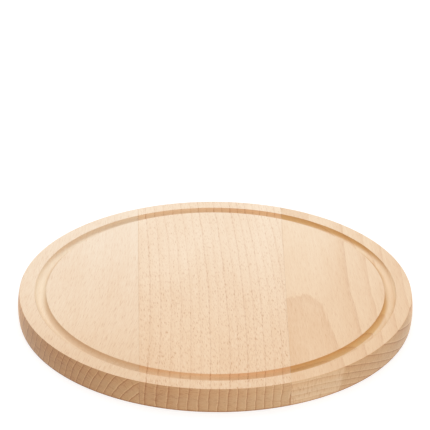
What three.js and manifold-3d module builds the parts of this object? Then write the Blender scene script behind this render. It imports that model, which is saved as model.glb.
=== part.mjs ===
// Round beech cutting board with a juice groove, edge-glued from three staves.
// Millimetres, +Z up. The underside lies on z = 0, the grain runs along Y, and -Y is the front.

import * as THREE from 'three';
import { mergeVertices } from 'three/addons/utils/BufferGeometryUtils.js';
import Module from 'manifold-3d';

// Driving dimensions of the disc
const BOARD_DIAMETER = 260; // across the fullest part of the side
const BOARD_THICKNESS = 16;
const TOP_INSET = 1.1; // how far the crowned side leans in at the top edge
const BOTTOM_INSET = 0.5; // and at the bottom edge
const EDGE_ROUNDING = 0.5; // sanded top and bottom edges

// Driving dimensions of the juice groove
const RIM_WIDTH = 10; // from the top edge to the groove
const GROOVE_WIDTH = 7.5;
const GROOVE_DEPTH = 3.1;
const LIP_ROUNDING = 0.5; // sanded lips where the groove meets the top

// Driving dimensions of the staves and of the glue between them
const CENTRE_STAVE_FRONT_WIDTH = 91;
const CENTRE_STAVE_BACK_WIDTH = 103;
const CENTRE_STAVE_OFFSET = -2.2; // its middle line, measured from the board's centre
const GLUE_FILM = 0.2;
const GLUE_CLEARANCE = 0.05; // between the film and each stave

// Fineness of the round stretches
const STEPS_AROUND = 96;
const STEPS_PER_CURVE = 4;

// Colours of the oiled wood and the dried glue
const LEFT_BEECH = 0xf3dfc4;
const CENTRE_BEECH = 0xefd8b9;
const RIGHT_BEECH = 0xe9cca8;
const DRIED_GLUE = 0xc9a173;
const WOOD_ROUGHNESS = 0.6;
const GLUE_ROUGHNESS = 0.4;

const boardRadius = BOARD_DIAMETER / 2;
const topCorner = boardRadius - TOP_INSET;
const grooveMiddle = topCorner - RIM_WIDTH - GROOVE_WIDTH / 2;

const wasm = await Module();
wasm.setup();

// A closed geometry as a solid: corners that lie on one spot become one, and flat triangles go
function toSolid(geometry) {
  const bare = geometry.clone();
  bare.deleteAttribute('normal');
  bare.deleteAttribute('uv');
  const merged = mergeVertices(bare);
  const corners = merged.index.array;
  const triangles = [];
  for (let i = 0; i < corners.length; i += 3) {
    const [a, b, c] = corners.slice(i, i + 3);
    if (a !== b && b !== c && c !== a) {
      triangles.push(a, b, c);
    }
  }
  return new wasm.Manifold(new wasm.Mesh({
    numProp: 3,
    vertProperties: merged.attributes.position.array,
    triVerts: new Uint32Array(triangles),
  }));
}

// A solid as a named mesh with its own material
function toMesh(name, solid, color, roughness) {
  const { vertProperties, triVerts } = solid.getMesh();
  const geometry = new THREE.BufferGeometry();
  geometry.setAttribute('position', new THREE.BufferAttribute(vertProperties, 3));
  geometry.setIndex(new THREE.BufferAttribute(triVerts, 1));
  geometry.computeVertexNormals();
  const material = new THREE.MeshStandardMaterial({ color, roughness, metalness: 0, flatShading: true });
  const mesh = new THREE.Mesh(geometry, material);
  mesh.name = name;
  return mesh;
}

// The side is a shallow parabola, fullest where its two insets balance
const rootTop = Math.sqrt(TOP_INSET);
const rootBottom = Math.sqrt(BOTTOM_INSET);
const fullestHeight = BOARD_THICKNESS * rootBottom / (rootTop + rootBottom);
const crown = TOP_INSET / (BOARD_THICKNESS - fullestHeight) ** 2;
const sideRadius = (z) => boardRadius - crown * (z - fullestHeight) ** 2;
const sideSlope = (z) => -2 * crown * (z - fullestHeight);

// Half of the board's cross-section, from the axis at the underside round to the axis at the top
function boardProfile() {
  const profile = new THREE.Path();
  const low = EDGE_ROUNDING;
  const high = BOARD_THICKNESS - EDGE_ROUNDING;
  const bottomTangent = sideRadius(low) - sideSlope(low) * EDGE_ROUNDING;
  const topTangent = sideRadius(high) + sideSlope(high) * EDGE_ROUNDING;
  const middle = (low + high) / 2;
  const crownTangent = sideRadius(low) + sideSlope(low) * (middle - low);
  profile.moveTo(0, 0);
  profile.lineTo(bottomTangent - EDGE_ROUNDING, 0);
  profile.quadraticCurveTo(bottomTangent, 0, sideRadius(low), low);
  profile.quadraticCurveTo(crownTangent, middle, sideRadius(high), high);
  profile.quadraticCurveTo(topTangent, BOARD_THICKNESS, topTangent - EDGE_ROUNDING, BOARD_THICKNESS);
  addGroove(profile);
  profile.lineTo(0, BOARD_THICKNESS);
  return profile.getPoints(STEPS_PER_CURVE);
}

// The groove is one arc through its two lips and its lowest point, with each lip rounded over
function addGroove(profile) {
  const half = GROOVE_WIDTH / 2;
  const radius = (half ** 2 + GROOVE_DEPTH ** 2) / (2 * GROOVE_DEPTH);
  const centreHeight = BOARD_THICKNESS - GROOVE_DEPTH + radius;
  const lipAngle = Math.atan2(GROOVE_DEPTH - radius, half);
  const trim = LIP_ROUNDING / radius;
  const start = lipAngle - trim;
  const end = -Math.PI - start;
  const startX = grooveMiddle + radius * Math.cos(start);
  const startZ = centreHeight + radius * Math.sin(start);
  const outerLip = grooveMiddle + half;
  const innerLip = grooveMiddle - half;
  profile.lineTo(outerLip + LIP_ROUNDING, BOARD_THICKNESS);
  profile.quadraticCurveTo(outerLip, BOARD_THICKNESS, startX, startZ);
  profile.absarc(grooveMiddle, centreHeight, radius, start, end, true);
  profile.quadraticCurveTo(innerLip, BOARD_THICKNESS, innerLip - LIP_ROUNDING, BOARD_THICKNESS);
}

// The whole disc, as it is turned from the glued panel
const discGeometry = new THREE.LatheGeometry(boardProfile(), STEPS_AROUND);
discGeometry.rotateX(Math.PI / 2);
const disc = toSolid(discGeometry);

// A seam's middle line: the centre stave tapers evenly from its back width to its front width
function seam(side, shift) {
  const meanWidth = (CENTRE_STAVE_BACK_WIDTH + CENTRE_STAVE_FRONT_WIDTH) / 2;
  const taper = (CENTRE_STAVE_BACK_WIDTH - CENTRE_STAVE_FRONT_WIDTH) / BOARD_DIAMETER;
  return (y) => CENTRE_STAVE_OFFSET + side * (meanWidth + taper * y) / 2 + shift;
}

// What a straight strip of the panel, between two lines from front to back, takes of the disc
function stripOfDisc(leftLine, rightLine) {
  const reach = BOARD_DIAMETER;
  const outline = new THREE.Shape([
    new THREE.Vector2(leftLine(-reach), -reach),
    new THREE.Vector2(rightLine(-reach), -reach),
    new THREE.Vector2(rightLine(reach), reach),
    new THREE.Vector2(leftLine(reach), reach),
  ]);
  const strip = new THREE.ExtrudeGeometry(outline, { depth: 3 * BOARD_THICKNESS, bevelEnabled: false });
  strip.translate(0, 0, -BOARD_THICKNESS);
  return disc.intersect(toSolid(strip));
}

const LEFT = -1;
const RIGHT = 1;
const film = GLUE_FILM / 2;
const bond = film + GLUE_CLEARANCE;
const farLeft = () => -BOARD_DIAMETER;
const farRight = () => BOARD_DIAMETER;

const leftStave = stripOfDisc(farLeft, seam(LEFT, -bond));
const leftGlue = stripOfDisc(seam(LEFT, -film), seam(LEFT, film));
const centreStave = stripOfDisc(seam(LEFT, bond), seam(RIGHT, -bond));
const rightGlue = stripOfDisc(seam(RIGHT, -film), seam(RIGHT, film));
const rightStave = stripOfDisc(seam(RIGHT, bond), farRight);

const board = new THREE.Group();
board.add(toMesh('left_stave', leftStave, LEFT_BEECH, WOOD_ROUGHNESS));
board.add(toMesh('left_glue_line', leftGlue, DRIED_GLUE, GLUE_ROUGHNESS));
board.add(toMesh('centre_stave', centreStave, CENTRE_BEECH, WOOD_ROUGHNESS));
board.add(toMesh('right_glue_line', rightGlue, DRIED_GLUE, GLUE_ROUGHNESS));
board.add(toMesh('right_stave', rightStave, RIGHT_BEECH, WOOD_ROUGHNESS));

export default board;
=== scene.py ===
# %% [markdown]
# A round beech cutting board. Three planks, called staves, are glued edge to edge into a panel, and the
# panel is turned on a lathe: a flat cutting face, a half-round juice groove inside the rim, and a
# softly crowned side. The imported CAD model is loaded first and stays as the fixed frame. Every piece
# made below stands where its CAD node stands.

# %% Load the frame
import math

import bmesh
import bpy
from mathutils import Color, Matrix, Quaternion, Vector


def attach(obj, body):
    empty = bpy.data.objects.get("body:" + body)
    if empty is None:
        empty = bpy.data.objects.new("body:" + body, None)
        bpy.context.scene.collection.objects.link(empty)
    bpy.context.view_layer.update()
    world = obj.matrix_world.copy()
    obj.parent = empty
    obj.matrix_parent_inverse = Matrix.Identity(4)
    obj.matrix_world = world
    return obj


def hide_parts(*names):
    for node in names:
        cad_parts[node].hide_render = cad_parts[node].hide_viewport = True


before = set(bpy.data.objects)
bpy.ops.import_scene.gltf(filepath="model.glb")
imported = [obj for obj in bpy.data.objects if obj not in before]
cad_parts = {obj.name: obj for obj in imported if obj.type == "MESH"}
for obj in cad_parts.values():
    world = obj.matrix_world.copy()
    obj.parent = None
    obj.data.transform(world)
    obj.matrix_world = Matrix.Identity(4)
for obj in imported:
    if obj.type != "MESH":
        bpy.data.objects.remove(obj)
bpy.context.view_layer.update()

MM = 0.001


print("CAD nodes:", sorted(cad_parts))

# %% [markdown]
# The sizes are those of the CAD source, written in millimetres and turned into metres, the unit of the
# scene. The side of the real board is not upright: it swells a little below the middle and leans in
# towards the top, which is why the top has the larger inset. The radius stops a hair short of the CAD
# model's 130 mm, because that model's side is faceted and its fullest ring of corners lies at 129.97 mm.

# %% Sizes of the board
BOARD_RADIUS = 129.96 * MM
THICKNESS = 16 * MM
DISC_SIZES = {
    "Board Radius": BOARD_RADIUS,
    "Thickness": THICKNESS,
    "Top Inset": 1.1 * MM,
    "Bottom Inset": 0.5 * MM,
    "Edge Rounding": 0.5 * MM,
    "Rim Width": 10 * MM,
    "Groove Width": 7.5 * MM,
    "Groove Depth": 3.1 * MM,
    "Lip Rounding": 0.5 * MM,
}
DISC_STEPS = {
    "Steps Around": 480,
    "Curve Steps": 12,
}
print("board", 2 * BOARD_RADIUS / MM, "mm across and", THICKNESS / MM, "mm thick")

# %% [markdown]
# Node trees are built in code here, so four small helpers keep that short. The first one joins an
# output to an input, or writes a plain value on it. The second makes a node. The third makes a Math
# node and hands back its output, so that formulas can be written from the inside out. The fourth mixes
# two colours. A Mix node keeps sockets of several kinds under the same names, so the colour sockets are
# picked by their numbers.

# %% Helpers for node trees
MIX_FACTOR = 0
MIX_FIRST = 6
MIX_SECOND = 7
MIX_RESULT = 2


def wire(tree, socket, value):
    if isinstance(value, bpy.types.NodeSocket):
        tree.links.new(value, socket)
    else:
        socket.default_value = value


def add_node(tree, kind, inputs=None, **settings):
    made = tree.nodes.new(kind)
    for name, value in settings.items():
        setattr(made, name, value)
    for name, value in (inputs or {}).items():
        wire(tree, made.inputs[name], value)
    return made


def calc(tree, operation, *values):
    made = add_node(tree, "ShaderNodeMath", operation=operation)
    for socket, value in zip(made.inputs, values):
        wire(tree, socket, value)
    return made.outputs[0]


def mix_colours(tree, factor, first, second, mode="MIX"):
    inputs = {MIX_FACTOR: factor, MIX_FIRST: first, MIX_SECOND: second}
    made = add_node(tree, "ShaderNodeMix", inputs, data_type="RGBA", blend_type=mode)
    return made.outputs[MIX_RESULT]


print("helpers made:", [helper.__name__ for helper in (wire, add_node, calc, mix_colours)])

# %% [markdown]
# The disc is a turned shape: one cross-section carried round an axis. A Spin in mesh code or a Screw
# modifier could make it too. Geometry Nodes are used because the cross-section follows a rule with
# named sizes: three Bezier curves for the side and its two sanded edges, an arc for the groove with a
# rounded lip on each side, and straight lines between them. Curve to Mesh sweeps all of it round a
# circle.

# %% The inputs of the disc tree
disc_tree = bpy.data.node_groups.new("turned_disc", "GeometryNodeTree")
disc_sockets = disc_tree.interface
for size_name in DISC_SIZES:
    size_socket = disc_sockets.new_socket(size_name, in_out="INPUT", socket_type="NodeSocketFloat")
    size_socket.subtype = "DISTANCE"
for step_name in DISC_STEPS:
    disc_sockets.new_socket(step_name, in_out="INPUT", socket_type="NodeSocketInt")
disc_sockets.new_socket("Wood", in_out="INPUT", socket_type="NodeSocketMaterial")
disc_sockets.new_socket("Disc", in_out="OUTPUT", socket_type="NodeSocketGeometry")
disc_input = disc_tree.nodes.new("NodeGroupInput").outputs
print("disc tree inputs:", [socket.name for socket in disc_input if socket.name])

# %% [markdown]
# The cross-section is drawn flat, with the way out from the axis as X and the way up as Y. It needs only
# points, straight lines and Bezier curves with one middle handle, so each of these gets a short form.


# %% Short forms for the cross-section
def disc_math(operation, *values):
    return calc(disc_tree, operation, *values)


def point(out, up):
    joined = add_node(disc_tree, "ShaderNodeCombineXYZ", {"X": out, "Y": up})
    return joined.outputs[0]


def straight(start, end):
    line = add_node(disc_tree, "GeometryNodeCurvePrimitiveLine", {"Start": start, "End": end})
    return line.outputs[0]


def bent(start, handle, end):
    curve = add_node(
        disc_tree,
        "GeometryNodeCurveQuadraticBezier",
        {"Resolution": disc_input["Curve Steps"], "Start": start, "Middle": handle, "End": end},
    )
    return curve.outputs[0]


print("curve helpers made:", [helper.__name__ for helper in (point, straight, bent)])

# %% [markdown]
# The side of the board is softly crowned. A row of points could follow it, but a parabola needs only its
# two insets and the thickness: it is fullest at the height where the insets balance. Two formulas give
# its radius and its slope at any height.

# %% The parabola of the side
radius_in = disc_input["Board Radius"]
thick_in = disc_input["Thickness"]
edge_in = disc_input["Edge Rounding"]
top_inset_in = disc_input["Top Inset"]
root_top = disc_math("SQRT", top_inset_in)
root_bottom = disc_math("SQRT", disc_input["Bottom Inset"])
root_sum = disc_math("ADD", root_top, root_bottom)
fullest = disc_math("DIVIDE", disc_math("MULTIPLY", thick_in, root_bottom), root_sum)
above_fullest = disc_math("SUBTRACT", thick_in, fullest)
crown = disc_math("DIVIDE", top_inset_in, disc_math("MULTIPLY", above_fullest, above_fullest))


def side_radius(height):
    rise_over = disc_math("SUBTRACT", height, fullest)
    square = disc_math("MULTIPLY", rise_over, rise_over)
    return disc_math("SUBTRACT", radius_in, disc_math("MULTIPLY", crown, square))


def side_slope(height):
    half_slope = disc_math("MULTIPLY", crown, disc_math("SUBTRACT", fullest, height))
    return disc_math("ADD", half_slope, half_slope)


print("nodes for the parabola:", len(disc_tree.nodes))

# %% [markdown]
# A quadratic Bezier curve is a piece of a parabola, so the side is exact with one curve: its middle
# handle lies where the tangents of its two ends meet. A Bevel modifier could break the edges above and
# below. Two more curves on the same tangents do it here, so that no ridge shows where they begin.

# %% The crowned side and its sanded edges
high_in = disc_math("SUBTRACT", thick_in, edge_in)
low_radius = side_radius(edge_in)
high_radius = side_radius(high_in)
bottom_corner = disc_math("SUBTRACT", low_radius, disc_math("MULTIPLY", side_slope(edge_in), edge_in))
top_corner = disc_math("ADD", high_radius, disc_math("MULTIPLY", side_slope(high_in), edge_in))
half_thick = disc_math("MULTIPLY", thick_in, 0.5)
crown_rise = disc_math("SUBTRACT", half_thick, edge_in)
crown_corner = disc_math("ADD", low_radius, disc_math("MULTIPLY", side_slope(edge_in), crown_rise))
bottom_flat_end = point(disc_math("SUBTRACT", bottom_corner, edge_in), 0.0)
side_low = point(low_radius, edge_in)
side_high = point(high_radius, high_in)
rim_start = point(disc_math("SUBTRACT", top_corner, edge_in), thick_in)
outer_curves = [
    straight(point(0.0, 0.0), bottom_flat_end),
    bent(bottom_flat_end, point(bottom_corner, 0.0), side_low),
    bent(side_low, point(crown_corner, half_thick), side_high),
    bent(side_high, point(top_corner, thick_in), rim_start),
]
print("outer curves:", len(outer_curves))

# %% [markdown]
# The groove is cut by a round-nosed tool. A Boolean could take a ring out of the disc, but in the
# cross-section the groove is just one arc through its two lips and its lowest point. The sander breaks
# the lips, so the arc is trimmed a little at both ends. Trim Curve has its Start and End twice, once as
# shares and once as lengths, and the lengths are picked by their numbers.

# %% The arc of the juice groove
ARC_STEPS = 4.0  # times the steps of a Bezier curve
TRIM_START = 4
TRIM_END = 5
lip_in = disc_input["Lip Rounding"]
half_groove = disc_math("MULTIPLY", disc_input["Groove Width"], 0.5)
rim_radius = disc_math("SUBTRACT", radius_in, top_inset_in)
outer_lip = disc_math("SUBTRACT", rim_radius, disc_input["Rim Width"])
groove_middle = disc_math("SUBTRACT", outer_lip, half_groove)
inner_lip = disc_math("SUBTRACT", groove_middle, half_groove)
groove_floor = disc_math("SUBTRACT", thick_in, disc_input["Groove Depth"])
groove_arc = add_node(
    disc_tree,
    "GeometryNodeCurveArc",
    {
        "Resolution": disc_math("MULTIPLY", disc_input["Curve Steps"], ARC_STEPS),
        "Start": point(outer_lip, thick_in),
        "Middle": point(groove_middle, groove_floor),
        "End": point(inner_lip, thick_in),
    },
    mode="POINTS",
).outputs[0]
arc_length = add_node(disc_tree, "GeometryNodeCurveLength", {"Curve": groove_arc}).outputs[0]
arc_end = disc_math("SUBTRACT", arc_length, lip_in)
trimmed_arc = add_node(
    disc_tree,
    "GeometryNodeTrimCurve",
    {"Curve": groove_arc, TRIM_START: lip_in, TRIM_END: arc_end},
    mode="LENGTH",
).outputs[0]
print("nodes with the groove:", len(disc_tree.nodes))

# %% [markdown]
# The rim and the cutting face are flat, and the sander leaves a soft lip on both sides of the groove. A
# short Bezier curve leads from the flat wood into the trimmed arc, so the lips are smooth without a
# bevel. Sample Curve tells where the trimmed arc begins and ends.


# %% The rim, the sanded lips and the cutting face
def arc_point(length):
    sample = add_node(
        disc_tree,
        "GeometryNodeSampleCurve",
        {"Curves": groove_arc, "Length": length},
        mode="LENGTH",
        use_all_curves=True,
    )
    return sample.outputs["Position"]


outer_lip_start = point(disc_math("ADD", outer_lip, lip_in), thick_in)
inner_lip_end = point(disc_math("SUBTRACT", inner_lip, lip_in), thick_in)
top_curves = [
    straight(rim_start, outer_lip_start),
    bent(outer_lip_start, point(outer_lip, thick_in), arc_point(lip_in)),
    trimmed_arc,
    bent(arc_point(arc_end), point(inner_lip, thick_in), inner_lip_end),
    straight(inner_lip_end, point(0.0, thick_in)),
]
print("top curves:", len(top_curves))

# %% [markdown]
# Curve to Mesh puts the cross-section's X along the circle's outward normal and its Y downwards, so the
# joined curves are shifted onto the circle and flipped first. The strips of the separate curves meet in
# coincident points, which Merge by Distance welds into one closed skin.

# %% Sweep the cross-section round
UPSIDE_DOWN = (1.0, -1.0, 1.0)
WELD_DISTANCE = 0.002 * MM
cross_section = add_node(disc_tree, "GeometryNodeJoinGeometry")
for curve_output in reversed(outer_curves + top_curves):
    disc_tree.links.new(curve_output, cross_section.inputs[0])
on_circle = add_node(
    disc_tree,
    "GeometryNodeTransform",
    {
        "Geometry": cross_section.outputs[0],
        "Translation": point(disc_math("MULTIPLY", radius_in, -1.0), 0.0),
        "Scale": UPSIDE_DOWN,
    },
)
circle = add_node(
    disc_tree,
    "GeometryNodeCurvePrimitiveCircle",
    {"Resolution": disc_input["Steps Around"], "Radius": radius_in},
)
swept = add_node(
    disc_tree,
    "GeometryNodeCurveToMesh",
    {"Curve": circle.outputs[0], "Profile Curve": on_circle.outputs[0]},
)
welded = add_node(
    disc_tree,
    "GeometryNodeMergeByDistance",
    {"Geometry": swept.outputs[0], "Distance": WELD_DISTANCE},
)
realized = add_node(disc_tree, "GeometryNodeRealizeInstances", {"Geometry": welded.outputs[0]})
with_wood = add_node(
    disc_tree,
    "GeometryNodeSetMaterial",
    {"Geometry": realized.outputs[0], "Material": disc_input["Wood"]},
)
disc_output = disc_tree.nodes.new("NodeGroupOutput")
disc_tree.links.new(with_wood.outputs[0], disc_output.inputs["Disc"])
print("disc tree nodes:", len(disc_tree.nodes))

# %% [markdown]
# The wood comes next, because the tree wants a material. Its colours are easiest to judge as they look on
# a screen, from 0 to 255, but Blender's sockets want linear light. One helper turns the one into the
# other.

# %% Colours in the way they are read from a screen
SCREEN_FULL = 255


def screen_colour(red, green, blue):
    shown = Color((red / SCREEN_FULL, green / SCREEN_FULL, blue / SCREEN_FULL))
    return (*shown.from_srgb_to_scene_linear(), 1.0)


print("mid grey in linear light:", round(screen_colour(128, 128, 128)[0], 3))

# %% [markdown]
# Beech is a solid pattern: the yearly rings are long shells round the pith of the trunk, and each stave
# is a window into its own trunk. So the pattern is reckoned from the point's distance to a pith line
# that runs along the grain, and the same rings then show as lines on the face, as arcs on the end grain
# and as bent lines in the groove, all joined up. An image or a flat Wave texture would not turn the
# corner. The three staves differ only in numbers and colours, so the wood is one node group with an
# input for each of them. The pith inputs place the trunk, the ring inputs count its years, the fleck
# inputs draw the rays, and the edge and fade inputs shape the oil on the side.

# %% The inputs of the beech group
beech_group = bpy.data.node_groups.new("beech", "ShaderNodeTree")
BEECH_NUMBERS = (
    "Pith X",
    "Pith Z",
    "Pith Lean",
    "Pith Bend",
    "Pith Bow",
    "Bow Middle",
    "Swell",
    "Lopsided",
    "First Ring",
    "Rings per mm",
    "Ring Slowing",
    "Wander",
    "Band Depth",
    "Line Depth",
    "Face Lines",
    "Fleck Fineness",
    "Fleck Length",
    "Fleck Slant",
    "Fleck Bend",
    "Fleck Depth",
    "Fleck Haze",
    "Pale Edge",
    "Fade Start",
    "Fade End",
    "Seed",
)
BEECH_COLOURS = ("Early Wood", "Late Wood", "Side Oil", "Groove Oil")
for number_name in BEECH_NUMBERS:
    beech_group.interface.new_socket(number_name, in_out="INPUT", socket_type="NodeSocketFloat")
for colour_name in BEECH_COLOURS:
    beech_group.interface.new_socket(colour_name, in_out="INPUT", socket_type="NodeSocketColor")
beech_group.interface.new_socket("Colour", in_out="OUTPUT", socket_type="NodeSocketColor")
beech_group.interface.new_socket("Roughness", in_out="OUTPUT", socket_type="NodeSocketFloat")
beech_group.interface.new_socket("Height", in_out="OUTPUT", socket_type="NodeSocketFloat")
beech_in = beech_group.nodes.new("NodeGroupInput").outputs
print("beech inputs:", len(BEECH_NUMBERS) + len(BEECH_COLOURS))

# %% [markdown]
# The formulas of the wood could be written node by node, but they take the same few steps again and
# again. Each step gets a short name, so that a formula is easy to read.


# %% Short forms for the formulas of the wood
def wood_math(operation, *values):
    return calc(beech_group, operation, *values)


def times(first, second):
    return wood_math("MULTIPLY", first, second)


def times_plus(value, factor, base):
    return wood_math("MULTIPLY_ADD", value, factor, base)


def minus(first, second):
    return wood_math("SUBTRACT", first, second)


def place(x, y, z):
    joined = add_node(beech_group, "ShaderNodeCombineXYZ", {"X": x, "Y": y, "Z": z})
    return joined.outputs[0]


print("formula helpers made:", [helper.__name__ for helper in (times, times_plus, minus, place)])

# %% [markdown]
# Rise and fall are smooth passages from 0 to 1 and back, between two values. Swing is a noise that goes
# up and down around zero. Blend goes from one colour to another, and shade multiplies a colour by a
# coat, as oil does. A coat above 1 makes the wood paler.

# %% Short forms for noise, passages and colours
NOISE_MIDDLE = 0.5


def noise(vector, scale=1.0, detail=2.0, roughness=0.5):
    inputs = {"Vector": vector, "Scale": scale, "Detail": detail, "Roughness": roughness}
    return add_node(beech_group, "ShaderNodeTexNoise", inputs).outputs["Fac"]


def swing(vector, **settings):
    return minus(noise(vector, **settings), NOISE_MIDDLE)


def ease(value, start, end, low, high):
    made = add_node(beech_group, "ShaderNodeMapRange", interpolation_type="SMOOTHSTEP")
    for socket, number in zip(made.inputs, (value, start, end, low, high)):
        wire(beech_group, socket, number)
    return made.outputs[0]


def rise(value, start, end):
    return ease(value, start, end, 0.0, 1.0)


def fall(value, start, end):
    return ease(value, start, end, 1.0, 0.0)


def blend(factor, first, second):
    return mix_colours(beech_group, factor, first, second)


def shade(factor, colour, coat):
    return mix_colours(beech_group, factor, colour, coat, "MULTIPLY")


print("look helpers made:", [helper.__name__ for helper in (noise, swing, rise, fall, blend, shade)])

# %% [markdown]
# First the place of a point in its trunk, in millimetres. The pith line leans, bends and bows as trunks
# do, and on the right stave it swells a little towards the front. A straight line with a stronger noise
# would bend the rings too, but not where the rings of this board bend.

# %% Where the pith runs
SWELL_STRETCH = (-27.0, -7.0)
object_place = add_node(beech_group, "ShaderNodeTexCoord").outputs["Object"]
in_mm = add_node(beech_group, "ShaderNodeVectorMath", {0: object_place, "Scale": 1 / MM}, operation="SCALE")
split = add_node(beech_group, "ShaderNodeSeparateXYZ", {0: in_mm.outputs[0]})
across = split.outputs["X"]
along = split.outputs["Y"]
upward = split.outputs["Z"]
bow_reach = minus(along, beech_in["Bow Middle"])
bowed_height = times_plus(times(bow_reach, bow_reach), beech_in["Pith Bow"], beech_in["Pith Z"])
pith_height = times_plus(fall(along, *SWELL_STRETCH), beech_in["Swell"], bowed_height)
pith_lean = times_plus(along, beech_in["Pith Bend"], beech_in["Pith Lean"])
pith_across = times_plus(along, pith_lean, beech_in["Pith X"])
print("pith nodes:", len(beech_group.nodes))

# %% [markdown]
# The distance from the pith decides the year, and the angle around it places the rays. A trunk can be
# lopsided, with wider years on one side of the pith. Shrinking the distance on that side gives this
# without a second pattern.

# %% Distance and angle from the pith
straight_x = minus(across, pith_across)
left_of_pith = wood_math("MAXIMUM", times(straight_x, -1.0), 0.0)
from_pith_x = times_plus(left_of_pith, beech_in["Lopsided"], straight_x)
from_pith_z = minus(upward, pith_height)
square_z = times(from_pith_z, from_pith_z)
true_distance = wood_math("SQRT", times_plus(from_pith_x, from_pith_x, square_z))
pith_angle = wood_math("ARCTAN2", from_pith_z, from_pith_x)
print("nodes with the distance:", len(beech_group.nodes))

# %% [markdown]
# No ring is a perfect circle. A slow drift moves it in and out by up to about a millimetre, and the fibres
# fray its edge. Fibres follow the grain, which slants across the stave and bends a little on its way
# from front to back. Noise textures give both, in a space that is drawn out along the grain.

# %% Drift and fibres
DRIFT_ALONG = 0.15
DRIFT_SCALE = 0.09
FIBRES_PER_MM = 1.1
FIBRE_ALONG = 0.02
FRAY = 0.7
seed = beech_in["Seed"]
drift_place = place(wood_math("ADD", across, seed), times(along, DRIFT_ALONG), upward)
drift = swing(drift_place, scale=DRIFT_SCALE)
grain_slant = times_plus(along, beech_in["Fleck Bend"], beech_in["Fleck Slant"])
slanted = minus(across, times(along, grain_slant))
fibre_place = place(
    times(slanted, FIBRES_PER_MM),
    times(along, FIBRE_ALONG),
    times_plus(upward, FIBRES_PER_MM, seed),
)
fibre = swing(fibre_place, detail=4.0, roughness=0.6)
frayed_distance = times_plus(fibre, FRAY, true_distance)
pith_distance = times_plus(drift, beech_in["Wander"], frayed_distance)
print("nodes with the fibres:", len(beech_group.nodes))

# %% [markdown]
# Each year adds a ring: pale early wood, slowly darkening to a thin line of late wood. The ring number
# grows with the distance from the pith, at a rate that changes slowly over the years. The part after
# the decimal point says how far the year has gone, and the whole part picks how strong the year's line
# is, because no two summers are alike. A Wave texture has bands too, but can't tell one year from another.

# %% Yearly rings
LATE_LINE_START = (0.8, 0.95)
LATE_LINE_END = (0.97, 1.0)
EARLY_LINE_END = (0.02, 0.16)
BAND_POWER = 2.2
BAND_END = (0.98, 1.0)
YEAR_STRENGTHS = (0.4, 1.6)
beyond_first = minus(pith_distance, beech_in["First Ring"])
ring_rate = times_plus(beyond_first, beech_in["Ring Slowing"], beech_in["Rings per mm"])
ring_number = times(beyond_first, ring_rate)
season = wood_math("FRACT", ring_number)
late_line = times(rise(season, *LATE_LINE_START), fall(season, *LATE_LINE_END))
early_line = fall(season, *EARLY_LINE_END)
late_band = times(wood_math("POWER", season, BAND_POWER), fall(season, *BAND_END))
year = wood_math("FLOOR", wood_math("ADD", ring_number, seed))
year_noise = add_node(beech_group, "ShaderNodeTexWhiteNoise", {"W": year}, noise_dimensions="1D")
year_strength = ease(year_noise.outputs["Value"], 0.0, 1.0, *YEAR_STRENGTHS)
print("nodes with the rings:", len(beech_group.nodes))

# %% [markdown]
# Rays are thin sheets that run out from the pith like spokes. The end grain shows them as fine spokes
# across the rings, so they are a noise in the space of angle and distance, drawn out along the
# distance. A face cuts them into short flecks. Small strips could be scattered for these, but a second
# noise, drawn along the slanting grain, is lighter and goes on inside the groove.

# %% Spokes and flecks
SPOKES_PER_MM = 3.0
SPOKE_DRIFT = 2.0
SPOKE_ALONG = 0.1
SPOKE_OUTWARD = 0.25
DARK_FLECKS = (0.545, 0.71)
PALE_FLECKS = (0.28, 0.46)
spoke_turn = times(pith_angle, beech_in["First Ring"])
spoke_place = place(
    times_plus(drift, SPOKE_DRIFT, times(spoke_turn, SPOKES_PER_MM)),
    times(along, SPOKE_ALONG),
    times_plus(true_distance, SPOKE_OUTWARD, seed),
)
spoke = swing(spoke_place, detail=3.0, roughness=0.65)
fleck_place = place(
    times(slanted, beech_in["Fleck Fineness"]),
    wood_math("DIVIDE", along, beech_in["Fleck Length"]),
    times_plus(upward, beech_in["Fleck Fineness"], seed),
)
fleck_field = noise(fleck_place, roughness=0.65)
dark_fleck = rise(fleck_field, *DARK_FLECKS)
pale_fleck = fall(fleck_field, *PALE_FLECKS)
print("nodes with the flecks:", len(beech_group.nodes))

# %% [markdown]
# Pores are the cut vessels of the wood, finer than a fleck: only the highest peaks of a fine noise count
# as open pores. A slow, cloudy noise varies the tone, because no plank has just one.

# %% Pores and clouds
PORES_PER_MM = 4.0
PORE_ALONG = 0.6
OPEN_PORES = (0.6, 0.75)
CLOUD_ALONG = 0.3
CLOUD_SCALE = 0.04
pore_place = place(
    times(across, PORES_PER_MM),
    times(along, PORE_ALONG),
    times(upward, PORES_PER_MM),
)
pore = rise(noise(pore_place, detail=1.0), *OPEN_PORES)
cloud_place = place(across, times(along, CLOUD_ALONG), wood_math("ADD", upward, seed))
cloud = swing(cloud_place, scale=CLOUD_SCALE)
print("nodes with the pores:", len(beech_group.nodes))

# %% [markdown]
# The lathe cuts across the fibres, and open fibre ends drink more oil than the sanded face. That is so
# on the whole side. The distance from the board's axis and the way that the surface faces tell the side
# from the rim, and the share of its normal along the grain tells end grain from side grain. Vertex
# colours could mark these places too, but formulas stay sharp on any mesh.

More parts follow.
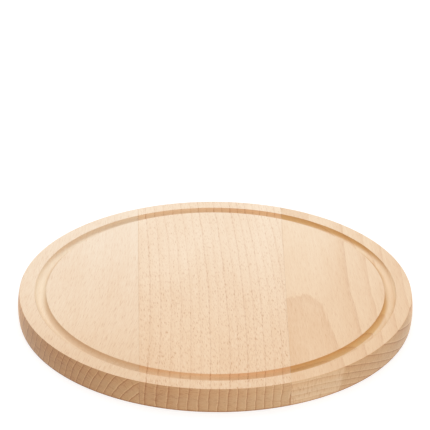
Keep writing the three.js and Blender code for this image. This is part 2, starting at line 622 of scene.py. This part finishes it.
# %% The side and its end grain
OUTER_LIP = (BOARD_RADIUS - DISC_SIZES["Top Inset"] - DISC_SIZES["Rim Width"]) / MM
INNER_LIP = OUTER_LIP - DISC_SIZES["Groove Width"] / MM
OUTSIDE_STRETCH = (OUTER_LIP + 3.0, OUTER_LIP + 6.0)
SIDE_FACING = (0.5, 0.9)
END_GRAIN_FACING = (0.08, 0.45)
normal = add_node(beech_group, "ShaderNodeNewGeometry").outputs["Normal"]
normal_parts = add_node(beech_group, "ShaderNodeSeparateXYZ", {0: normal})
level_share = wood_math("ABSOLUTE", normal_parts.outputs["Z"])
grain_share = wood_math("ABSOLUTE", normal_parts.outputs["Y"])
from_axis = wood_math("SQRT", times_plus(across, across, times(along, along)))
outside = rise(from_axis, *OUTSIDE_STRETCH)
on_side = times(outside, fall(level_share, *SIDE_FACING))
end_grain = rise(grain_share, *END_GRAIN_FACING)
print("lips of the groove in mm from the axis:", round(INNER_LIP, 2), round(OUTER_LIP, 2))

# %% [markdown]
# The groove drinks oil at the front and the back, where its walls face along the grain. To the left and
# right it runs with the grain and stays pale. Its inner wall darkens sooner than its outer wall, a painted
# shade on the wall that turns from the light, and at the front right the outer wall, where the light
# falls on it, is kept pale as a painted light. The tops of both lips stay without oil, which lightens the
# shaded line along each lip: a painted light too.

# %% The walls and lips of the groove
GROOVE_MIDDLE = (INNER_LIP + OUTER_LIP) / 2
WALL_STRETCH = (GROOVE_MIDDLE - 0.7, GROOVE_MIDDLE + 1.3)
INNER_WALL_FACING = (0.0, 0.18)
OUTER_WALL_FACING = (0.1, 0.45)
LIT_WALL_ACROSS = (55.0, 85.0)
LIT_WALL_ALONG = (-40.0, -10.0)
GROOVE_START = (INNER_LIP - 0.32, INNER_LIP + 0.03)
GROOVE_END = (OUTER_LIP - 0.02, OUTER_LIP + 0.33)
INNER_LIP_END = (INNER_LIP + 0.08, INNER_LIP + 0.28)
OUTER_LIP_START = (OUTER_LIP - 0.27, OUTER_LIP - 0.07)
LIP_FACING = (0.5, 0.85)
outer_wall = rise(from_axis, *WALL_STRETCH)
# painted shade: the inner wall darkens sooner than the outer wall
inner_end_and_shade = rise(grain_share, *INNER_WALL_FACING)
# painted light: the outer wall at the front right is kept pale
painted_lit_wall = times(rise(across, *LIT_WALL_ACROSS), fall(along, *LIT_WALL_ALONG))
outer_end = times(rise(grain_share, *OUTER_WALL_FACING), minus(1.0, painted_lit_wall))
wall_end_and_shade = times_plus(outer_wall, minus(outer_end, inner_end_and_shade), inner_end_and_shade)
between_lips = times(rise(from_axis, *GROOVE_START), fall(from_axis, *GROOVE_END))
at_lip = wood_math("MAXIMUM", fall(from_axis, *INNER_LIP_END), rise(from_axis, *OUTER_LIP_START))
# lip tops stay without oil, which lightens the shaded line along each lip: a painted light
lip_top = times(at_lip, rise(level_share, *LIP_FACING))
in_groove = times(between_lips, minus(1.0, lip_top))
turned = wood_math("MAXIMUM", on_side, in_groove)
print("nodes with the places:", len(beech_group.nodes))

# %% [markdown]
# Sound wood goes from the early to the late colour of its stave. The season sets the tone, and fibres,
# flecks and clouds unsettle it. Over it lies a painted shade: the face darkens a little from back to
# front, as the light from behind falls off, most of all at the front left.

# %% Sound wood and the painted shade towards the front
MEAN_TONE = 0.25
FIBRE_TONE = 0.5
CLOUD_TONE = 0.8
# painted shade: the face darker towards the front, most of all at the front left
FRONT_SHADE_STRETCH = (-130.0, 130.0)
FRONT_SHADE_COAT = screen_colour(245, 231, 214)
FRONT_STRETCH = (-110.0, -40.0)
LEFT_STRETCH = (-60.0, -20.0)
FRONT_LEFT_SHADE_COAT = screen_colour(250, 246, 241)
haze = times(minus(fleck_field, NOISE_MIDDLE), beech_in["Fleck Haze"])
fibre_tone = times_plus(fibre, FIBRE_TONE, haze)
cloud_tone = times_plus(cloud, CLOUD_TONE, fibre_tone)
tone = times_plus(late_band, beech_in["Band Depth"], wood_math("ADD", cloud_tone, MEAN_TONE))
sound_wood = blend(tone, beech_in["Early Wood"], beech_in["Late Wood"])
# painted shade towards the front and the front left, where the light from behind falls off
painted_front_shade = fall(along, *FRONT_SHADE_STRETCH)
front_left_shade = times(fall(along, *FRONT_STRETCH), fall(across, *LEFT_STRETCH))
front_shaded_wood = shade(front_left_shade, shade(painted_front_shade, sound_wood, FRONT_SHADE_COAT), FRONT_LEFT_SHADE_COAT)
print("nodes with the tanned wood:", len(beech_group.nodes))

# %% [markdown]
# The coat of oil on the side is deepest at the left and fades to the right, stave by stave. A painted
# shade makes it darker and warmer along the top, a painted light makes it paler low down, and a painted
# contact shadow darkens a thin line at the foot. Where the side runs with the grain it stays paler, and
# on the right stave a patch of end grain up to a leaning edge has taken little oil. Each coat is
# multiplied onto the last, so the rings and fibres below stay visible.

# %% The coat of oil on the side, with painted shade and light
PALE_LEAN = -0.25
PALE_SOFTNESS = 2.0
PALE_COAT = screen_colour(229, 221, 213)
# painted shade: darker and warmer along the top of the side
TOP_STRETCH = (8.0, 13.0)
TOP_SHADE_COAT = screen_colour(255, 250, 243)
# painted light: paler low down on the side
LOW_STRETCH = (2.0, 8.0)
LOW_LIGHT_COAT = (1.08, 1.1, 1.11, 1.0)
FADED_COAT = (1.14, 1.27, 1.41, 1.0)
# painted contact shadow: a thin dark line at the foot of the side
FOOT_STRETCH = (0.4, 1.4)
FOOT_SHADOW_COAT = screen_colour(215, 190, 165)
SIDE_GRAIN_COAT = (1.33, 1.3, 1.25, 1.0)
pale_end = wood_math("ADD", beech_in["Pale Edge"], PALE_SOFTNESS)
pale_share = fall(times_plus(upward, PALE_LEAN, across), beech_in["Pale Edge"], pale_end)
side_oil = blend(pale_share, beech_in["Side Oil"], PALE_COAT)
# painted shade along the top, painted light low down
top_shaded_oil = shade(rise(upward, *TOP_STRETCH), side_oil, TOP_SHADE_COAT)
low_lit_oil = shade(fall(upward, *LOW_STRETCH), top_shaded_oil, LOW_LIGHT_COAT)
fade = rise(across, beech_in["Fade Start"], beech_in["Fade End"])
faded_oil_and_shade = shade(fade, low_lit_oil, FADED_COAT)
# painted contact shadow at the foot
foot_shadowed_oil = shade(fall(upward, *FOOT_STRETCH), faded_oil_and_shade, FOOT_SHADOW_COAT)
side_oil_and_shade = shade(fall(end_grain, 0.0, 1.0), foot_shadowed_oil, SIDE_GRAIN_COAT)
print("nodes with the side's oil:", len(beech_group.nodes))

# %% [markdown]
# In the groove the oil deepens from left to right. On the floor at the front a painted light makes it
# paler, where the walls shade the floor, and least so at the left. Where the groove runs with the grain
# it is a touch paler than the face.

# %% The coat of oil in the groove, with painted light on its floor
DEEP_STRETCH = (-25.0, 25.0)
DEEP_COAT = screen_colour(251, 241, 227)
FLOOR_FACING = (0.3, 1.0)
FLOOR_ALONG = (-60.0, 60.0)
FLOOR_ACROSS = (-70.0, -20.0)
FLOOR_SHARES = (0.4, 1.0)
FLOOR_LIGHT_COAT = (1.13, 1.27, 1.45, 1.0)
GROOVE_PALE_COAT = (1.01, 1.05, 1.06, 1.0)
deep_oil = shade(rise(across, *DEEP_STRETCH), beech_in["Groove Oil"], DEEP_COAT)
# painted light: the groove's floor at the front is lifted where the walls shade it
front_floor = times(rise(level_share, *FLOOR_FACING), fall(along, *FLOOR_ALONG))
lit_front_floor = times(front_floor, ease(across, *FLOOR_ACROSS, *FLOOR_SHARES))
floor_oil_and_light = shade(lit_front_floor, deep_oil, FLOOR_LIGHT_COAT)
groove_oil_light_and_shade = blend(wall_end_and_shade, GROOVE_PALE_COAT, floor_oil_and_light)
oiled_and_shaded = shade(turned, front_shaded_wood, blend(outside, groove_oil_light_and_shade, side_oil_and_shade))
print("nodes with all the oil:", len(beech_group.nodes))

# %% [markdown]
# Oil brings the rings out. On the side a dark late line and a pale early line lie next to each other. On
# the face the late line is faint, broken into dashes by the flecks and uneven from year to year, and in
# the oiled groove it is stronger again. The fine spokes of the rays show on end grain only.

# %% Ring lines and spokes
GROOVE_LINES = 1.8
DASH_FIELD = (0.42, 0.62)
DASH_STRENGTHS = (0.5, 1.5)
PALE_LINES = -0.65
SIDE_BAND = 0.25
LATE_COAT = screen_colour(205, 164, 126)
EARLY_COAT = (1.3, 1.45, 1.6, 1.0)
SPOKE_FIELD = (0.02, 0.16)
SPOKE_DEPTH = 0.5
groove_lines = times_plus(times(in_groove, wall_end_and_shade), GROOVE_LINES, 1.0)
dashed_lines = times(beech_in["Face Lines"], ease(fleck_field, *DASH_FIELD, *DASH_STRENGTHS))
uneven_lines = times(dashed_lines, year_strength)
line_show = wood_math("MAXIMUM", on_side, times(uneven_lines, groove_lines))
faint_show = times_plus(times(pale_share, on_side), PALE_LINES, line_show)
line_share = times(beech_in["Line Depth"], faint_show)
dark_ring = times_plus(times(late_band, on_side), SIDE_BAND, late_line)
lined = shade(times(dark_ring, line_share), oiled_and_shaded, LATE_COAT)
light_ring = times(early_line, on_side)
lit = shade(times(light_ring, line_share), lined, EARLY_COAT)
spoke_share = times(times(rise(spoke, *SPOKE_FIELD), on_side), SPOKE_DEPTH)
spoked = shade(times(spoke_share, end_grain), lit, LATE_COAT)
print("nodes with the lines:", len(beech_group.nodes))

# %% [markdown]
# The sanded edge between rim and side has a warm line of its own. The flecks come last. They are
# stronger towards the front and weaker where the lathe has cut it.

# %% The sanded edge and the flecks
EDGE_FACING = (0.45, 0.65)
EDGE_COAT = screen_colour(252, 232, 205)
TURNED_FLECKS = 0.25
FRONT_FLECKS = 0.5
BASE_FLECKS = 0.6
FLECK_COAT = screen_colour(220, 191, 161)
PALE_FLECK_DEPTH = 0.3
PALE_FLECK_COLOUR = screen_colour(255, 240, 220)
edge_share = times(on_side, rise(level_share, *EDGE_FACING))
edged = shade(edge_share, spoked, EDGE_COAT)
face_flecks = ease(turned, 0.0, 1.0, 1.0, TURNED_FLECKS)
fleck_gain = times(face_flecks, times_plus(painted_front_shade, FRONT_FLECKS, BASE_FLECKS))
fleck_share = times(beech_in["Fleck Depth"], fleck_gain)
flecked = shade(times(dark_fleck, fleck_share), edged, FLECK_COAT)
pale_fleck_share = times(times(pale_fleck, fleck_share), PALE_FLECK_DEPTH)
finished = blend(pale_fleck_share, flecked, PALE_FLECK_COLOUR)
print("nodes with the finished colour:", len(beech_group.nodes))

# %% [markdown]
# Oil leaves a low sheen. Late wood is denser, so it shines slightly more, and the sander leaves the
# pores and the soft early wood a few hundredths of a millimetre lower.

# %% Sheen and relief of the wood
BASE_ROUGHNESS = 0.52
LATE_ROUGHNESS = -0.06
FIBRE_ROUGHNESS = 0.2
LATE_HEIGHT = 0.25
PORE_HEIGHT = -0.5
FIBRE_HEIGHT = 0.5
dense_roughness = times_plus(late_band, LATE_ROUGHNESS, BASE_ROUGHNESS)
pore_height = times_plus(pore, PORE_HEIGHT, times(late_band, LATE_HEIGHT))
beech_out = beech_group.nodes.new("NodeGroupOutput")
wire(beech_group, beech_out.inputs["Colour"], finished)
wire(beech_group, beech_out.inputs["Roughness"], times_plus(fibre, FIBRE_ROUGHNESS, dense_roughness))
wire(beech_group, beech_out.inputs["Height"], times_plus(fibre, FIBRE_HEIGHT, pore_height))
print("beech nodes in all:", len(beech_group.nodes))

# %% [markdown]
# The left stave was cut close beside its pith, so its rings fan out on the end grain. Its grain leans to
# the right towards the back and bends on its way, with fine, dense flecks.

# %% Wood of the left stave
NOWHERE = -1000.0  # a pale edge that no stave reaches
LEFT_BEECH = {
    "Pith X": -32.0,
    "Pith Z": -10.0,
    "Pith Lean": 0.015,
    "First Ring": 28.6,
    "Rings per mm": 0.2007,
    "Ring Slowing": 0.000934,
    "Wander": 2.5,
    "Band Depth": 0.12,
    "Line Depth": 0.6,
    "Face Lines": 0.03,
    "Fleck Fineness": 2.0,
    "Fleck Length": 9.0,
    "Fleck Slant": 0.125,
    "Fleck Bend": -0.0005,
    "Fleck Depth": 0.48,
    "Fleck Haze": 0.8,
    "Pale Edge": NOWHERE,
    "Fade Start": -100.0,
    "Fade End": -20.0,
    "Seed": 3.0,
    "Early Wood": screen_colour(249, 231, 208),
    "Late Wood": screen_colour(238, 207, 174),
    "Side Oil": screen_colour(208, 186, 160),
    "Groove Oil": screen_colour(239, 229, 215),
}
print("left stave:", LEFT_BEECH["Rings per mm"], "rings in a millimetre")

# %% [markdown]
# The centre stave is quarter-sawn, far from its pith, with upright rings. They run nearly straight along
# the face and bend to the left at the back. Its flecks are short and dark.

# %% Wood of the centre stave
CENTRE_BEECH = {
    "Pith X": 300.55,
    "Pith Z": -10.0,
    "Pith Lean": -0.022,
    "Pith Bend": -0.00022,
    "First Ring": 257.9,
    "Rings per mm": 0.1992,
    "Ring Slowing": -0.00031,
    "Wander": 2.5,
    "Band Depth": 0.3,
    "Line Depth": 0.45,
    "Face Lines": 0.3,
    "Fleck Fineness": 1.7,
    "Fleck Length": 4.2,
    "Fleck Slant": -0.08,
    "Fleck Depth": 0.75,
    "Fleck Haze": 0.2,
    "Pale Edge": NOWHERE,
    "Fade Start": -15.0,
    "Fade End": 60.0,
    "Seed": 11.0,
    "Early Wood": screen_colour(250, 229, 203),
    "Late Wood": screen_colour(237, 205, 170),
    "Side Oil": screen_colour(214, 198, 178),
    "Groove Oil": screen_colour(243, 227, 206),
}
print("centre stave:", CENTRE_BEECH["Rings per mm"], "rings in a millimetre")

# %% [markdown]
# The right stave is flat-sawn above its pith. Its rings lie nearly level on the end grain, and where the
# bowed pith line brings them through the face, one year surfaces as a tall, darker tongue.

# %% Wood of the right stave
RIGHT_BEECH = {
    "Pith X": 59.5,
    "Pith Z": -78.6,
    "Pith Lean": 0.025,
    "Pith Bow": 0.00011,
    "Bow Middle": 38.0,
    "Swell": 0.5,
    "Lopsided": 0.55,
    "First Ring": 86.1,
    "Rings per mm": 0.257,
    "Ring Slowing": -0.00167,
    "Wander": 0.5,
    "Band Depth": 0.5,
    "Line Depth": 0.45,
    "Face Lines": 0.15,
    "Fleck Fineness": 2.8,
    "Fleck Length": 7.0,
    "Fleck Slant": -0.05,
    "Fleck Depth": 0.3,
    "Fleck Haze": 0.6,
    "Pale Edge": 72.4,
    "Fade Start": 0.0,
    "Fade End": 45.0,
    "Seed": 23.0,
    "Early Wood": screen_colour(247, 223, 193),
    "Late Wood": screen_colour(232, 195, 155),
    "Side Oil": screen_colour(216, 200, 182),
    "Groove Oil": screen_colour(232, 214, 172),
}
print("right stave:", RIGHT_BEECH["Rings per mm"], "rings in a millimetre")

# %% [markdown]
# A stave's material is the shader with the beech group in front of it. The relief is far too fine for
# the mesh, so a bump gives it.

# %% One material for each stave
RELIEF_HEIGHT = 0.03 * MM
RELIEF_STRENGTH = 0.35


def new_material(name):
    material = bpy.data.materials.new(name)
    material.use_nodes = True
    return material, material.node_tree, material.node_tree.nodes["Principled BSDF"]


def beech_material(name, settings):
    material, tree, shader = new_material(name)
    wood = add_node(tree, "ShaderNodeGroup", settings, node_tree=beech_group)
    bump = add_node(
        tree,
        "ShaderNodeBump",
        {"Strength": RELIEF_STRENGTH, "Distance": RELIEF_HEIGHT, "Height": wood.outputs["Height"]},
    )
    wire(tree, shader.inputs["Base Color"], wood.outputs["Colour"])
    wire(tree, shader.inputs["Roughness"], wood.outputs["Roughness"])
    wire(tree, shader.inputs["Normal"], bump.outputs[0])
    return material


left_wood = beech_material("beech_left", LEFT_BEECH)
centre_wood = beech_material("beech_centre", CENTRE_BEECH)
right_wood = beech_material("beech_right", RIGHT_BEECH)
print("wood materials:", left_wood.name, centre_wood.name, right_wood.name)

# %% [markdown]
# Dried wood glue is a thin amber film. It is sanded flush with the wood, so only a fine line of it
# shows, a little glossier than the oiled staves. A plain colour would look painted on, so a fine noise
# mottles it. On the side and in the groove it has taken up the colour of the oil.

# %% Material of the glue
GLUE_PALE = screen_colour(238, 208, 172)
GLUE_DARK = screen_colour(212, 172, 130)
GLUE_SIDE_COAT = screen_colour(190, 152, 126)
MOTTLE_SCALE = 160.0
GLUE_SMOOTHEST = 0.3
GLUE_UNEVEN = 0.2


def glue_material():
    material, tree, shader = new_material("wood_glue")
    where = add_node(tree, "ShaderNodeTexCoord").outputs["Object"]
    mottle_inputs = {"Vector": where, "Scale": MOTTLE_SCALE, "Detail": 3.0}
    mottle = add_node(tree, "ShaderNodeTexNoise", mottle_inputs).outputs["Fac"]
    tone_colour = mix_colours(tree, mottle, GLUE_PALE, GLUE_DARK)
    facing = add_node(tree, "ShaderNodeNewGeometry").outputs["Normal"]
    facing_parts = add_node(tree, "ShaderNodeSeparateXYZ", {0: facing})
    steep = calc(tree, "SUBTRACT", 1.0, calc(tree, "ABSOLUTE", facing_parts.outputs["Z"]))
    oiled_glue = mix_colours(tree, steep, tone_colour, GLUE_SIDE_COAT, "MULTIPLY")
    glue_roughness = calc(tree, "MULTIPLY_ADD", mottle, GLUE_UNEVEN, GLUE_SMOOTHEST)
    wire(tree, shader.inputs["Base Color"], oiled_glue)
    wire(tree, shader.inputs["Roughness"], glue_roughness)
    return material


glue = glue_material()
print("glue material:", glue.name)

# %% [markdown]
# Now the tree makes the disc. Its inputs are set by the socket's identifier before the object is first
# evaluated, and the result becomes a plain mesh that the saw cuts below work on.


# %% Turn the disc
def turned_disc():
    host = bpy.data.objects.new("disc_blank", bpy.data.meshes.new("disc_blank"))
    bpy.context.scene.collection.objects.link(host)
    turning = host.modifiers.new("turning", "NODES")
    turning.node_group = disc_tree
    values = {**DISC_SIZES, **DISC_STEPS, "Wood": centre_wood}
    for item in disc_tree.interface.items_tree:
        if item.in_out == "INPUT":
            turning[item.identifier] = values[item.name]
    depsgraph = bpy.context.evaluated_depsgraph_get()
    mesh = bpy.data.meshes.new_from_object(host.evaluated_get(depsgraph))
    bpy.data.objects.remove(host)
    return mesh


disc_mesh = turned_disc()
print("disc:", len(disc_mesh.vertices), "points,", len(disc_mesh.polygons), "faces")

# %% [markdown]
# The centre stave tapers: it is wider at the back than at the front, so both seams run slightly askew.
# A real panel is glued first and turned afterwards. Here the finished disc is sawn along the seams,
# which gives the same faces.

# %% The seams
FRONT_WIDTH = 91 * MM
BACK_WIDTH = 103 * MM
MIDDLE_OFFSET = -2.2 * MM
GLUE_HALF = 0.14 * MM  # from the seam's middle to the film's face
STAVE_GAP = 0.15 * MM  # from the seam's middle to the wood
SEAM_TAPER = (BACK_WIDTH - FRONT_WIDTH) / (2 * BOARD_RADIUS)
MEAN_WIDTH = (FRONT_WIDTH + BACK_WIDTH) / 2
LEFT = -1
RIGHT = 1


def seam_plane(side, shift):
    middle = Vector((MIDDLE_OFFSET + side * MEAN_WIDTH / 2 + shift, 0, 0))
    facing = Vector((1, -side * SEAM_TAPER / 2, 0))
    return middle, facing


print("taper of the centre stave:", round(SEAM_TAPER, 4), "mm for each mm of length")

# %% [markdown]
# A cut takes away what lies on one side of a seam and fills the opening with one face, so that every
# stave stays a closed solid. A Boolean could do it, but one bisecting plane is exact and quick. Turned
# faces are shaded smooth. The flat top and underside and the saw cuts, which are single faces with many
# corners, are shaded flat.

# %% Saw a piece out of the disc
CUT_TOLERANCE = 1e-7
FLAT_COSINE = 0.9999
TURNED_CORNERS = 4
SHARP_ANGLE = math.radians(35)
CUBIC_CM = 1e-6


def cut_away(bm, plane, keep_right):
    middle, facing = plane
    cut = bmesh.ops.bisect_plane(
        bm,
        geom=bm.verts[:] + bm.edges[:] + bm.faces[:],
        dist=CUT_TOLERANCE,
        plane_co=middle,
        plane_no=facing,
        clear_inner=keep_right,
        clear_outer=not keep_right,
    )
    rim = [item for item in cut["geom_cut"] if isinstance(item, bmesh.types.BMEdge)]
    bmesh.ops.contextual_create(bm, geom=rim)


def sawn_piece(name, material, left_plane=None, right_plane=None):
    bm = bmesh.new()
    bm.from_mesh(disc_mesh)
    if left_plane:
        cut_away(bm, left_plane, keep_right=True)
    if right_plane:
        cut_away(bm, right_plane, keep_right=False)
    bmesh.ops.recalc_face_normals(bm, faces=bm.faces)
    for face in bm.faces:
        face.smooth = abs(face.normal.z) < FLAT_COSINE and len(face.verts) <= TURNED_CORNERS
    mesh = bpy.data.meshes.new(name)
    bm.to_mesh(mesh)
    open_edges = sum(1 for edge in bm.edges if not edge.is_manifold)
    volume = round(bm.calc_volume() / CUBIC_CM, 2)
    print(name, len(mesh.polygons), "faces,", open_edges, "open edges,", volume, "cubic cm")
    bm.free()
    mesh.set_sharp_from_angle(angle=SHARP_ANGLE)
    mesh.materials.clear()
    mesh.materials.append(material)
    piece = bpy.data.objects.new(name, mesh)
    bpy.context.scene.collection.objects.link(piece)
    return piece


print("a cut is exact to", CUT_TOLERANCE / MM, "mm")

# %% [markdown]
# Three staves and two films of glue make the panel. A gap of a hundredth of a millimetre between wood and
# glue keeps their faces from lying in one place, where they would flicker in a render.

# %% Three staves and two glue films
left_stave = sawn_piece("beech_stave_left", left_wood, right_plane=seam_plane(LEFT, -STAVE_GAP))
centre_stave = sawn_piece(
    "beech_stave_centre",
    centre_wood,
    left_plane=seam_plane(LEFT, STAVE_GAP),
    right_plane=seam_plane(RIGHT, -STAVE_GAP),
)
right_stave = sawn_piece("beech_stave_right", right_wood, left_plane=seam_plane(RIGHT, STAVE_GAP))
left_film = sawn_piece(
    "glue_film_left",
    glue,
    left_plane=seam_plane(LEFT, -GLUE_HALF),
    right_plane=seam_plane(LEFT, GLUE_HALF),
)
right_film = sawn_piece(
    "glue_film_right",
    glue,
    left_plane=seam_plane(RIGHT, -GLUE_HALF),
    right_plane=seam_plane(RIGHT, GLUE_HALF),
)
bpy.data.meshes.remove(disc_mesh)

# %% [markdown]
# Nothing on a cutting board moves, so every piece rides on the one body. Each piece takes the place of
# its CAD node and the finish of that node's material slot.

# %% Put the pieces on the frame
PIECE_PLACES = (
    (left_stave, "left_stave", "beech_left"),
    (centre_stave, "centre_stave", "beech_centre"),
    (right_stave, "right_stave", "beech_right"),
    (left_film, "left_glue_line", "wood_glue"),
    (right_film, "right_glue_line", "wood_glue"),
)
for piece, cad_node, finish in PIECE_PLACES:
    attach(piece, "root")
    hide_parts(cad_node)
    print(piece.name, "stands for", cad_node)

# %% [markdown]
# The board lies on a plain white sheet. The sheet gives back most of the light. What the camera sees of
# it, straight or mirrored, is lifted to a clean white, while the soft shadow beside the board stays.

# %% Material of the floor
SHEET_WHITE = (0.9, 0.9, 0.9, 1.0)
SEEN_WHITE = (0.45, 0.45, 0.45, 1.0)
SEEN_LIFT = 0.7


def seen_share(tree):
    path = add_node(tree, "ShaderNodeLightPath").outputs
    straight_or_mirrored = calc(tree, "MAXIMUM", path["Is Camera Ray"], path["Is Glossy Ray"])
    return calc(tree, "MAXIMUM", straight_or_mirrored, path["Is Transmission Ray"])


def floor_material():
    material, tree, shader = new_material("white_sheet")
    tree.nodes.remove(shader)
    bare = add_node(tree, "ShaderNodeBsdfDiffuse", {"Color": SHEET_WHITE})
    shadowed = add_node(tree, "ShaderNodeBsdfDiffuse", {"Color": SEEN_WHITE})
    lift = add_node(tree, "ShaderNodeEmission", {"Strength": SEEN_LIFT})
    lifted = add_node(tree, "ShaderNodeAddShader", {0: shadowed.outputs[0], 1: lift.outputs[0]})
    sheet = add_node(
        tree,
        "ShaderNodeMixShader",
        {0: seen_share(tree), 1: bare.outputs[0], 2: lifted.outputs[0]},
    )
    wire(tree, tree.nodes["Material Output"].inputs["Surface"], sheet.outputs[0])
    return material


white_sheet = floor_material()
print("floor material:", white_sheet.name)

# %% [markdown]
# The sheet is a wide, flat disc, so that no corner of it shows in the picture. A plane would do as well,
# but a disc reaches equally far on every side. It is staged as scenery, not as a piece of the board.

# %% Floor
FLOOR_REACH = 3.0
FLOOR_SIDES = 64
FLOOR_DROP = 0.02 * MM  # keeps the sheet clear of the underside
floor_bm = bmesh.new()
bmesh.ops.create_circle(floor_bm, cap_ends=True, segments=FLOOR_SIDES, radius=FLOOR_REACH)
floor_mesh = bpy.data.meshes.new("white_sheet")
floor_bm.to_mesh(floor_mesh)
floor_bm.free()
floor_mesh.transform(Matrix.Translation((0, 0, -FLOOR_DROP)))
floor_mesh.materials.append(white_sheet)
floor = bpy.data.objects.new("white_sheet", floor_mesh)
bpy.context.scene.collection.objects.link(floor)
print("floor radius", FLOOR_REACH, "m")

# %% [markdown]
# Plain studio light: one large soft lamp above and behind the board, and a weaker one low in front and a
# little to the right. A sun lamp would draw hard shadows into the groove, and area lamps shade it softly.

# %% Lamps
KEY_PLACE = Vector((-0.12, 0.78, 1.18))
KEY_SIZE = (1.8, 1.2)
KEY_WATTS = 10.35
FILL_PLACE = Vector((0.3, -1.15, 0.38))
FILL_SIZE = (0.9, 0.35)
FILL_WATTS = 3.75


def soft_lamp(name, where, size, watts):
    data = bpy.data.lights.new(name, "AREA")
    data.shape = "RECTANGLE"
    data.size, data.size_y = size
    data.energy = watts
    lamp = bpy.data.objects.new(name, data)
    lamp.location = where
    lamp.rotation_mode = "QUATERNION"
    lamp.rotation_quaternion = (-where).to_track_quat("-Z", "Y")
    bpy.context.scene.collection.objects.link(lamp)
    print(name, watts, "W")


soft_lamp("key_lamp", KEY_PLACE, KEY_SIZE, KEY_WATTS)
soft_lamp("fill_lamp", FILL_PLACE, FILL_SIZE, FILL_WATTS)

# %% [markdown]
# An even white room fills the shadows. A picture of a studio could do that too, but plain white is enough
# for a matt board. The room is dimmer as a light than it looks to the camera, so that the background is
# white and the board isn't lit by more than a plain level.

# %% Room
ROOM_LEVEL = 0.58
ROOM_WHITE = (1.0, 1.0, 1.0, 1.0)
room = bpy.data.worlds.new("white_room")
room.use_nodes = True
room_tree = room.node_tree
room_strength = calc(room_tree, "MULTIPLY_ADD", seen_share(room_tree), 1.0 - ROOM_LEVEL, ROOM_LEVEL)
room_light = room_tree.nodes["Background"]
wire(room_tree, room_light.inputs["Color"], ROOM_WHITE)
wire(room_tree, room_light.inputs["Strength"], room_strength)
bpy.context.scene.world = room
print("room level", ROOM_LEVEL)

# %% [markdown]
# The camera stands where the photograph was taken from: a long lens, about 28 degrees above the cutting
# face and a degree to the left of the grain. It looks two degrees above the middle of the board, so that
# the board lies low in the picture, and it is rolled by less than half a degree. Its place was fitted to
# the outline of the board and the edges of its groove.

# %% Camera
FOCUS = Vector((0, 0, THICKNESS))
CAMERA_DISTANCE = 1221.3 * MM
CAMERA_ELEVATION = math.radians(28.387)
CAMERA_TURN = math.radians(1.2)
CAMERA_TILT = math.radians(2.211)
CAMERA_PAN = math.radians(0.0317)
CAMERA_ROLL = math.radians(0.46)
CAMERA_LENS = 154.88
CAMERA_SENSOR = 36.0
away = Vector((
    -math.sin(CAMERA_TURN) * math.cos(CAMERA_ELEVATION),
    -math.cos(CAMERA_TURN) * math.cos(CAMERA_ELEVATION),
    math.sin(CAMERA_ELEVATION),
))
camera_data = bpy.data.cameras.new("camera")
camera_data.sensor_width = CAMERA_SENSOR
camera_data.lens = CAMERA_LENS
camera = bpy.data.objects.new("camera", camera_data)
camera.location = FOCUS + away * CAMERA_DISTANCE
camera.rotation_mode = "QUATERNION"
aim = (-away).to_track_quat("-Z", "Y")
tilt = Quaternion((1, 0, 0), CAMERA_TILT)
pan = Quaternion((0, 1, 0), CAMERA_PAN)
roll = Quaternion((0, 0, 1), CAMERA_ROLL)
camera.rotation_quaternion = aim @ tilt @ pan @ roll
bpy.context.scene.collection.objects.link(camera)
bpy.context.scene.camera = camera
bpy.context.scene.view_settings.view_transform = "Standard"
print("camera at", [round(reach, 4) for reach in camera.location])
